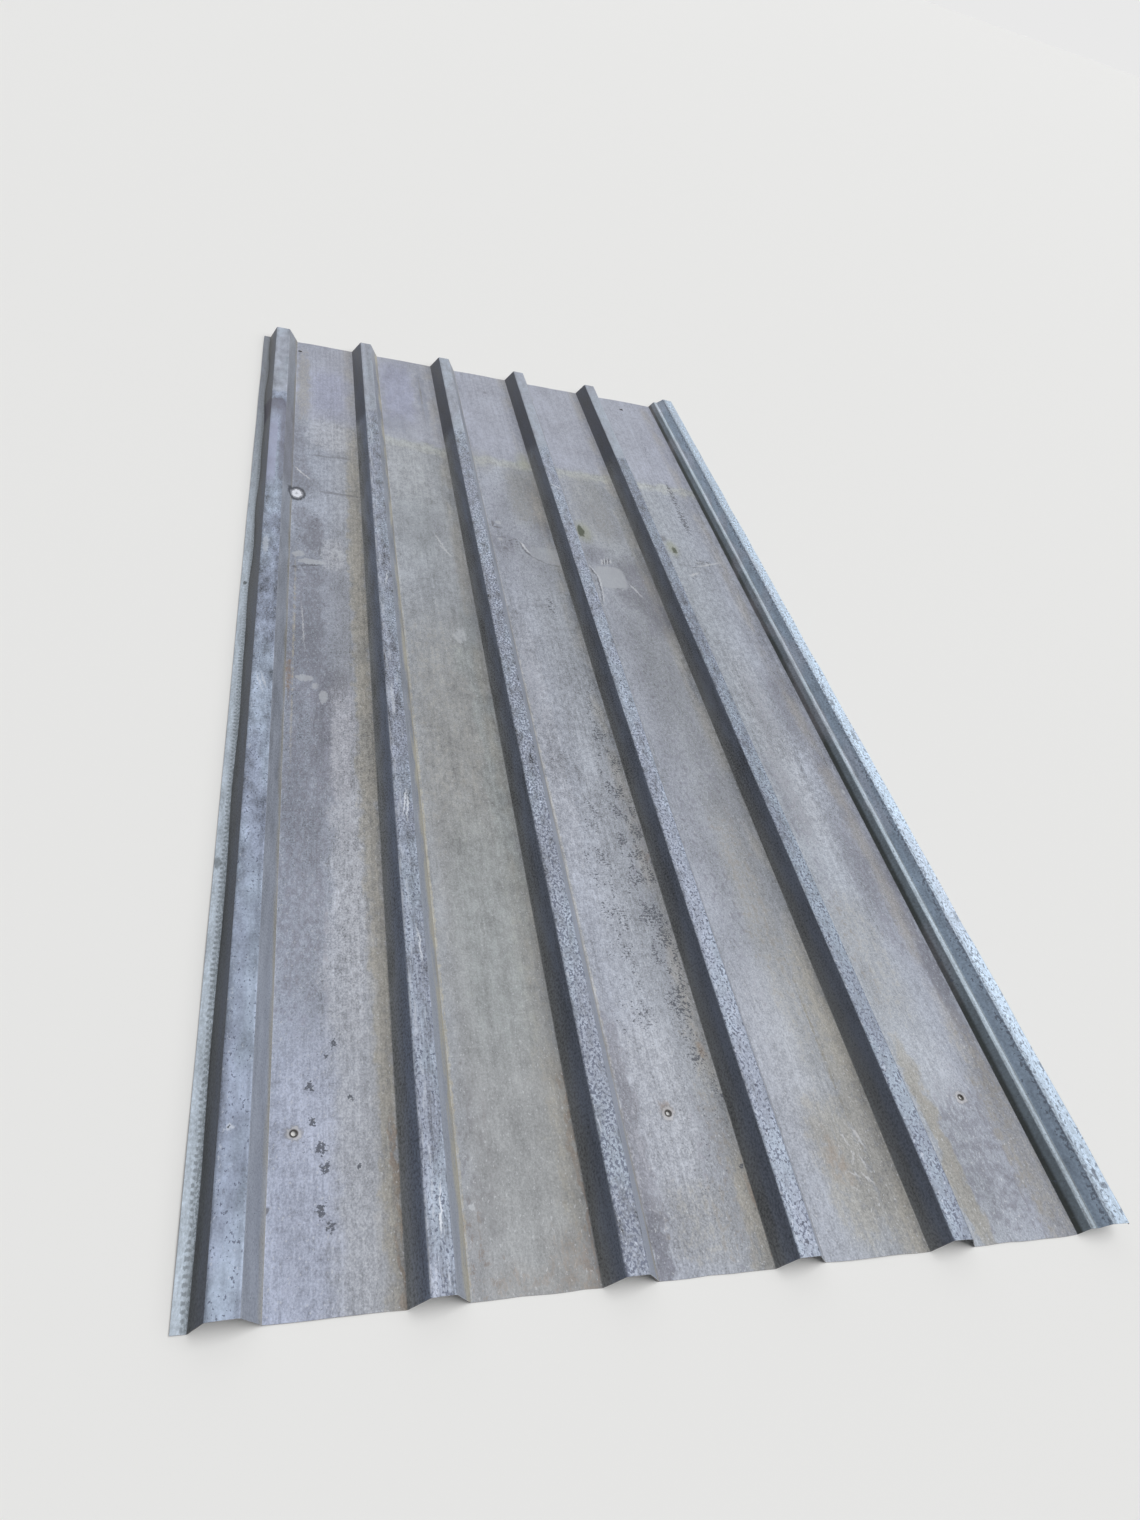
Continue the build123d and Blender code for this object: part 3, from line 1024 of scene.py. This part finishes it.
def slopeFinish():
    paint = ZincPaint("weathered_slopes", slopeZinc)
    pitch, fromRib = section["pitch"], paint.fromRib()
    rough = paint.strayed("rough", 7)
    byHeight, byRib = slopeZinc["surface"]
    sideways = paint.height * byHeight + (paint.across - fromRib) * byRib
    paint.surface = paint.node("ShaderNodeCombineXYZ", {}, {"X": sideways, "Y": paint.along})
    beyond = paint.step(paint.along, 1890, 1950)
    run, fine, slow = paint.cloud("run"), paint.cloud("fine"), paint.cloud("slow")
    up = paint.height + (run - 0.5) * 12
    # left-facing slopes: dark tones that are partly painted shade
    left = paint.mix(paint.step(up, 0, 24), tone(slopeZinc["leftFootShaded"]), tone(slopeZinc["leftTopShaded"]))
    left = paint.scaled(left, paint.byRib(slopeZinc["leftShares"]))
    left = paint.mix(beyond * paint.step(paint.across, 60, 150, 0.8), left, tone(slopeZinc["beyond"]))
    nearer = paint.step(paint.along, 900, 300, 0.20) - paint.step(paint.along, 1850, 1950, 0.12)
    right = paint.mix(paint.step(up, 1, 9), tone(slopeZinc["rightFoot"]), tone(slopeZinc["right"]))
    right = paint.scaled(right, paint.byRib(slopeZinc["rightShares"]) * (nearer + 0.92))
    paint.colour = paint.mix(paint.step(fromRib, -2, 2), left, right)
    dusty = paint.band(paint.across, pitch + 24, pitch + 34, 3) * paint.step(run, 0.42, 0.58, 0.6)
    paint.lay(dusty, "dust")
    # painted shade and shadow where the overlap rib was trodden in
    paint.lay(paint.areas("pressedShadePlaces"), "pressedShade")
    paint.lay(paint.areas("pressedLeftShadowPlaces"), "pressedLeftShadow")
    uneven = (run - 0.5) + (fine - 0.5) * 1.7 + (slow - 0.5) * 0.5
    uneven *= paint.step(paint.along, 300, 900, 0.4) + 1 - paint.step(fromRib, -2, 2, 0.55)
    paint.shade(uneven + 1)
    dots = paint.step(fine + (slow - 0.5) * 0.3, 0.66, 0.74)
    paint.lay(dots * 0.6, "dots")
    paint.mark(rough, glueRings)
    return paint.finish(paint.colour, 0.35, (run - 0.5) * 0.25 + 0.50, bump=fine, strength=0.25)


# The foot lip: lay against timber, pale with a beaded dark line
lipZinc = {
    "near": (179, 190, 202),
    "far": (126, 132, 142),
    "beads": (88, 94, 96),
    "beadPitch": 8.0,
    "clouds": {"fine": (3, 1.6, 3, 31, 0.7), "patch": (10, 5, 3, 32, 0.6), "rough": (4, 1.6, 3, 33, 0.6)},
    "marks": [((88, 94, 96), 0.3, None, [(-39, 1227, 3, 6, 0.9), (-42, 573, 5, 9, 0.6)])],
}


def lipFinish():
    paint = ZincPaint("foot_lip", lipZinc)
    fine, patch, rough = paint.cloud("fine"), paint.cloud("patch"), paint.strayed("rough", 5)
    farther = paint.step(paint.along, 1150, 2150)
    paint.colour = paint.mix(farther, tone(lipZinc["near"]), tone(lipZinc["far"]))
    paint.shade((patch - 0.5) + (fine - 0.5) + 1)
    inner = paint.across + (patch - 0.5) * 9
    grime = paint.step(inner, -37, -32) * paint.step(fine, 0.40, 0.56)
    paint.lay(grime * 0.7, "beads")
    beads = abs(paint.along / lipZinc["beadPitch"] % 1.0 - 0.5)
    beads = paint.step(beads + (fine - 0.5) * 0.6, 0.34, 0.16) * paint.band(inner, -37.5, -34, 1)
    paint.lay(beads * paint.step(paint.along, 1300, 1000, 0.55), "beads")
    paint.mark(rough, lipZinc["marks"])
    return paint.finish(paint.colour, 0.35, (patch - 0.5) * 0.3 + 0.5, bump=fine)


# The underlap rib: the next sheet's rib kept it bright
lapRibZinc = {
    "foot": (62, 68, 68),
    # the left-facing low slope is painted dark, partly as painted shade
    "lowSlope": (118, 130, 140),
    "ledge": (172, 186, 198),
    "wall": (145, 162, 182),
    "crest": (204, 223, 243),
    "warm": (192, 186, 198),
    "dots": (84, 92, 106),
    "clouds": {                     # size, stretch, detail, seed and roughness
        "fine": (2.8, 1.4, 3, 41, 0.65), "patch": (8, 6, 3, 42, 0.6), "slow": (40, 4, 2, 44, 0.55),
        "rough": (5, 1.6, 3, 43, 0.6), "dot": (4, 1.6, 3, 45, 0.65),
    },
    "marks": [
        ((84, 92, 106), 0.3, None, [
            (1078, 62, 3, 9, 0.8), (1082, 48, 5, 4, 0.7), (1080, 905, 4, 16, 0.5),
            (1072, 1000, 4, 10, 0.6), (1072, 1050, 3, 8, 0.6), (1086, 480, 4, 12, 0.4),
        ]),
    ],
}


def lapRibFinish():
    paint = ZincPaint("lap_rib", lapRibZinc)
    across, along = paint.across, paint.along
    start, ledge, wall, crest, _ = underlapPlaces()
    fine, patch, slow = paint.cloud("fine"), paint.cloud("patch"), paint.cloud("slow")
    rough = paint.strayed("rough", 7)
    low = paint.step(across, start + 3, start + 6)
    paint.colour = paint.mix(low, tone(lapRibZinc["foot"]), tone(lapRibZinc["lowSlope"]))
    for edge, name in ((ledge, "ledge"), (wall, "wall"), (crest, "crest")):
        paint.lay(paint.step(across, edge - 0.8, edge + 0.8), name)
    paint.lay(paint.band(across, wall - 2.2, wall, 0.8, 0.6), "foot")
    paint.lay(paint.step(slow, 0.48, 0.66) * paint.step(along, 150, 600, 0.20), "warm")

    onCrest = paint.step(across, crest - 4, crest + 1)
    inner = paint.step(across, crest + 10, crest + 3) * paint.step(across, crest - 3, crest)
    level = paint.step(across, crest - 4, crest + 2) + paint.band(across, ledge, wall, 1)
    bright = ((patch - 0.5) + (fine - 0.5)) * (1.1 - paint.step(along, 500, 150, 0.35)) + 1
    bright -= paint.step(along, 1500, 1900) * (onCrest * 0.26 - 0.12)
    bright += onCrest * paint.band(along, 600, 1150, 160, 0.06)
    bright -= inner * (paint.step(along, 700, 200, 0.12) + 0.18)
    bright -= paint.band(across, ledge, ledge + 3.5, 1.5, 0.30)
    bright -= paint.step(along, 340, 60) * (level * 0.15 + 0.15 - onCrest * 0.08)
    paint.shade(bright)

    onTop = paint.step(across, wall + 6, crest, 0.11) + paint.band(across, crest - 6, crest + 4, 3, 0.06)
    dots = paint.step(paint.cloud("dot") + (patch - 0.5) * 0.5 + onTop, 0.66, 0.74)
    paint.lay(dots * 0.75, "dots")
    paint.mark(rough, lapRibZinc["marks"])
    metallic = 0.35 - paint.step(across, wall, wall + 3, 0.10)
    return paint.finish(paint.colour, metallic, (patch - 0.5) * 0.2 + 0.52, bump=fine, strength=0.25)


# The underside: dull zinc with its spangle, white rust in patches
undersideZinc = {
    "base": (150, 154, 160),
    "whiteRust": (178, 181, 184),
    "spangle": 9.0,
    "clouds": {"patch": (60, 2.5, 5, 51, 0.6), "fine": (3, 1.2, 3, 52, 0.6)},
}


def undersideFinish():
    paint = ZincPaint("zinc_underside", undersideZinc)
    sockets = {"Vector": paint.place, "Scale": 1 / undersideZinc["spangle"]}
    flake = paint.parts(paint.node("ShaderNodeTexVoronoi", {}, sockets, out="Color"))[0]
    patch, fine = paint.cloud("patch"), paint.cloud("fine")
    rust = paint.step(patch + (fine - 0.5) * 0.3, 0.44, 0.72)
    paint.colour = paint.mix(rust * 0.7, tone(undersideZinc["base"]), tone(undersideZinc["whiteRust"]))
    paint.shade((flake - 0.5) * (0.22 - rust * 0.16) + (fine - 0.5) * 0.3 + 1)
    roughness = flake * 0.12 + rust * 0.15 + 0.40
    return paint.finish(paint.colour, 0.55 - rust * 0.4, roughness, bump=fine, strength=0.2, depth=0.2)


# The sheared edges and the bores of the screw holes
edgeZinc = {
    "base": (150, 152, 156),
    "rust": (118, 104, 92),
    "clouds": {"fine": (3, 1, 3, 61, 0.6)},
}


def edgeFinish():
    paint = ZincPaint("sheared_edge", edgeZinc)
    fine = paint.cloud("fine")
    paint.colour = paint.mix(paint.step(fine, 0.42, 0.62), tone(edgeZinc["base"]), tone(edgeZinc["rust"]))
    return paint.finish(paint.colour, 0.5, (fine - 0.5) * 0.3 + 0.5, bump=fine, strength=0.2, depth=0.2)


# Where the photo was taken from, with its angles in radians
camera = {
    "place": (-0.52596, -1.4909, 1.07764),
    "down": 0.7132,
    "turn": -0.4167,
    "roll": 0.3457,
    "focalPixels": 977.46,
    "picture": (1140, 1520),
    "sensor": 36,
    "clip": (0.05, 200),
}


def placeCamera():
    down, turn, roll = camera["down"], camera["turn"], camera["roll"]
    ahead = Vector((-math.cos(down) * math.sin(turn), math.cos(down) * math.cos(turn), -math.sin(down)))
    level = Vector((math.cos(turn), math.sin(turn), 0))
    upright = level.cross(ahead)
    right = level * math.cos(roll) + upright * math.sin(roll)
    up = upright * math.cos(roll) - level * math.sin(roll)
    data = bpy.data.cameras.new("camera")
    data.sensor_width = camera["sensor"]
    data.lens = camera["focalPixels"] / max(camera["picture"]) * data.sensor_width
    data.clip_start, data.clip_end = camera["clip"]
    eye = bpy.data.objects.new("camera", data)
    facing = Matrix((right, up, -ahead)).transposed().to_4x4()
    eye.matrix_world = Matrix.Translation(camera["place"]) @ facing
    bpy.context.scene.collection.objects.link(eye)
    bpy.context.scene.camera = eye


def buildStudio():
    scene = bpy.context.scene
    scene.view_settings.view_transform = "Standard"
    half = studio["floorSize"] / 2
    mesh = bpy.data.meshes.new("floor")
    corners = [(-half, -half, 0), (half, -half, 0), (half, half, 0), (-half, half, 0)]
    mesh.from_pydata(corners, [], [(0, 1, 2, 3)])
    floor = bpy.data.objects.new("floor", mesh)
    floor.location.z = -studio["floorDrop"]
    scene.collection.objects.link(floor)
    mesh.materials.append(Paint(bpy.data.materials.new("floor_paint")).finish(studio["floor"], 0.0, 0.9))
    scene.world = bpy.data.worlds.new("studio_world")
    lightWorld(scene.world)
    for sun in studio["suns"]:
        data = bpy.data.lights.new(sun["name"], "SUN")
        data.energy, data.angle = sun["strength"], math.radians(sun["spread"])
        light = bpy.data.objects.new(sun["name"], data)
        light.rotation_euler = (-Vector(sun["from"])).to_track_quat("-Z", "Y").to_euler()
        scene.collection.objects.link(light)


def lightWorld(world):
    # even grey light all round; the camera and reflections see the pale backdrop
    paint = Paint(world)
    white = (1, 1, 1, 1)
    light = paint.node("ShaderNodeBackground", {}, {"Color": white, "Strength": studio["world"]})
    seen = paint.node("ShaderNodeBackground", {}, {"Color": white, "Strength": studio["backdrop"]})
    rays = [paint.node("ShaderNodeLightPath", out=name) for name in studio["seenBy"]]
    either = rays[0]
    for ray in rays[1:]:
        either = either.larger(ray)
    shader = paint.node("ShaderNodeMixShader", {}, {0: either, 1: light, 2: seen})
    paint.node("ShaderNodeOutputWorld", {}, {"Surface": shader}, out=None)


placeCamera()
buildStudio()
sheet = buildSheet()
made = [panFinish(number) for number in range(section["pans"])]
made += [crestFinish(), slopeFinish(), lipFinish(), lapRibFinish(), undersideFinish(), edgeFinish()]
for finish in made:
    sheet.data.materials.append(finish)
    print("finish made:", finish.name, len(finish.node_tree.nodes), "nodes")
thicken(sheet)
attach(sheet, "root")
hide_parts("roof_sheet")
print("sheet has", sum(len(p.vertices) - 2 for p in sheet.data.polygons), "triangles")
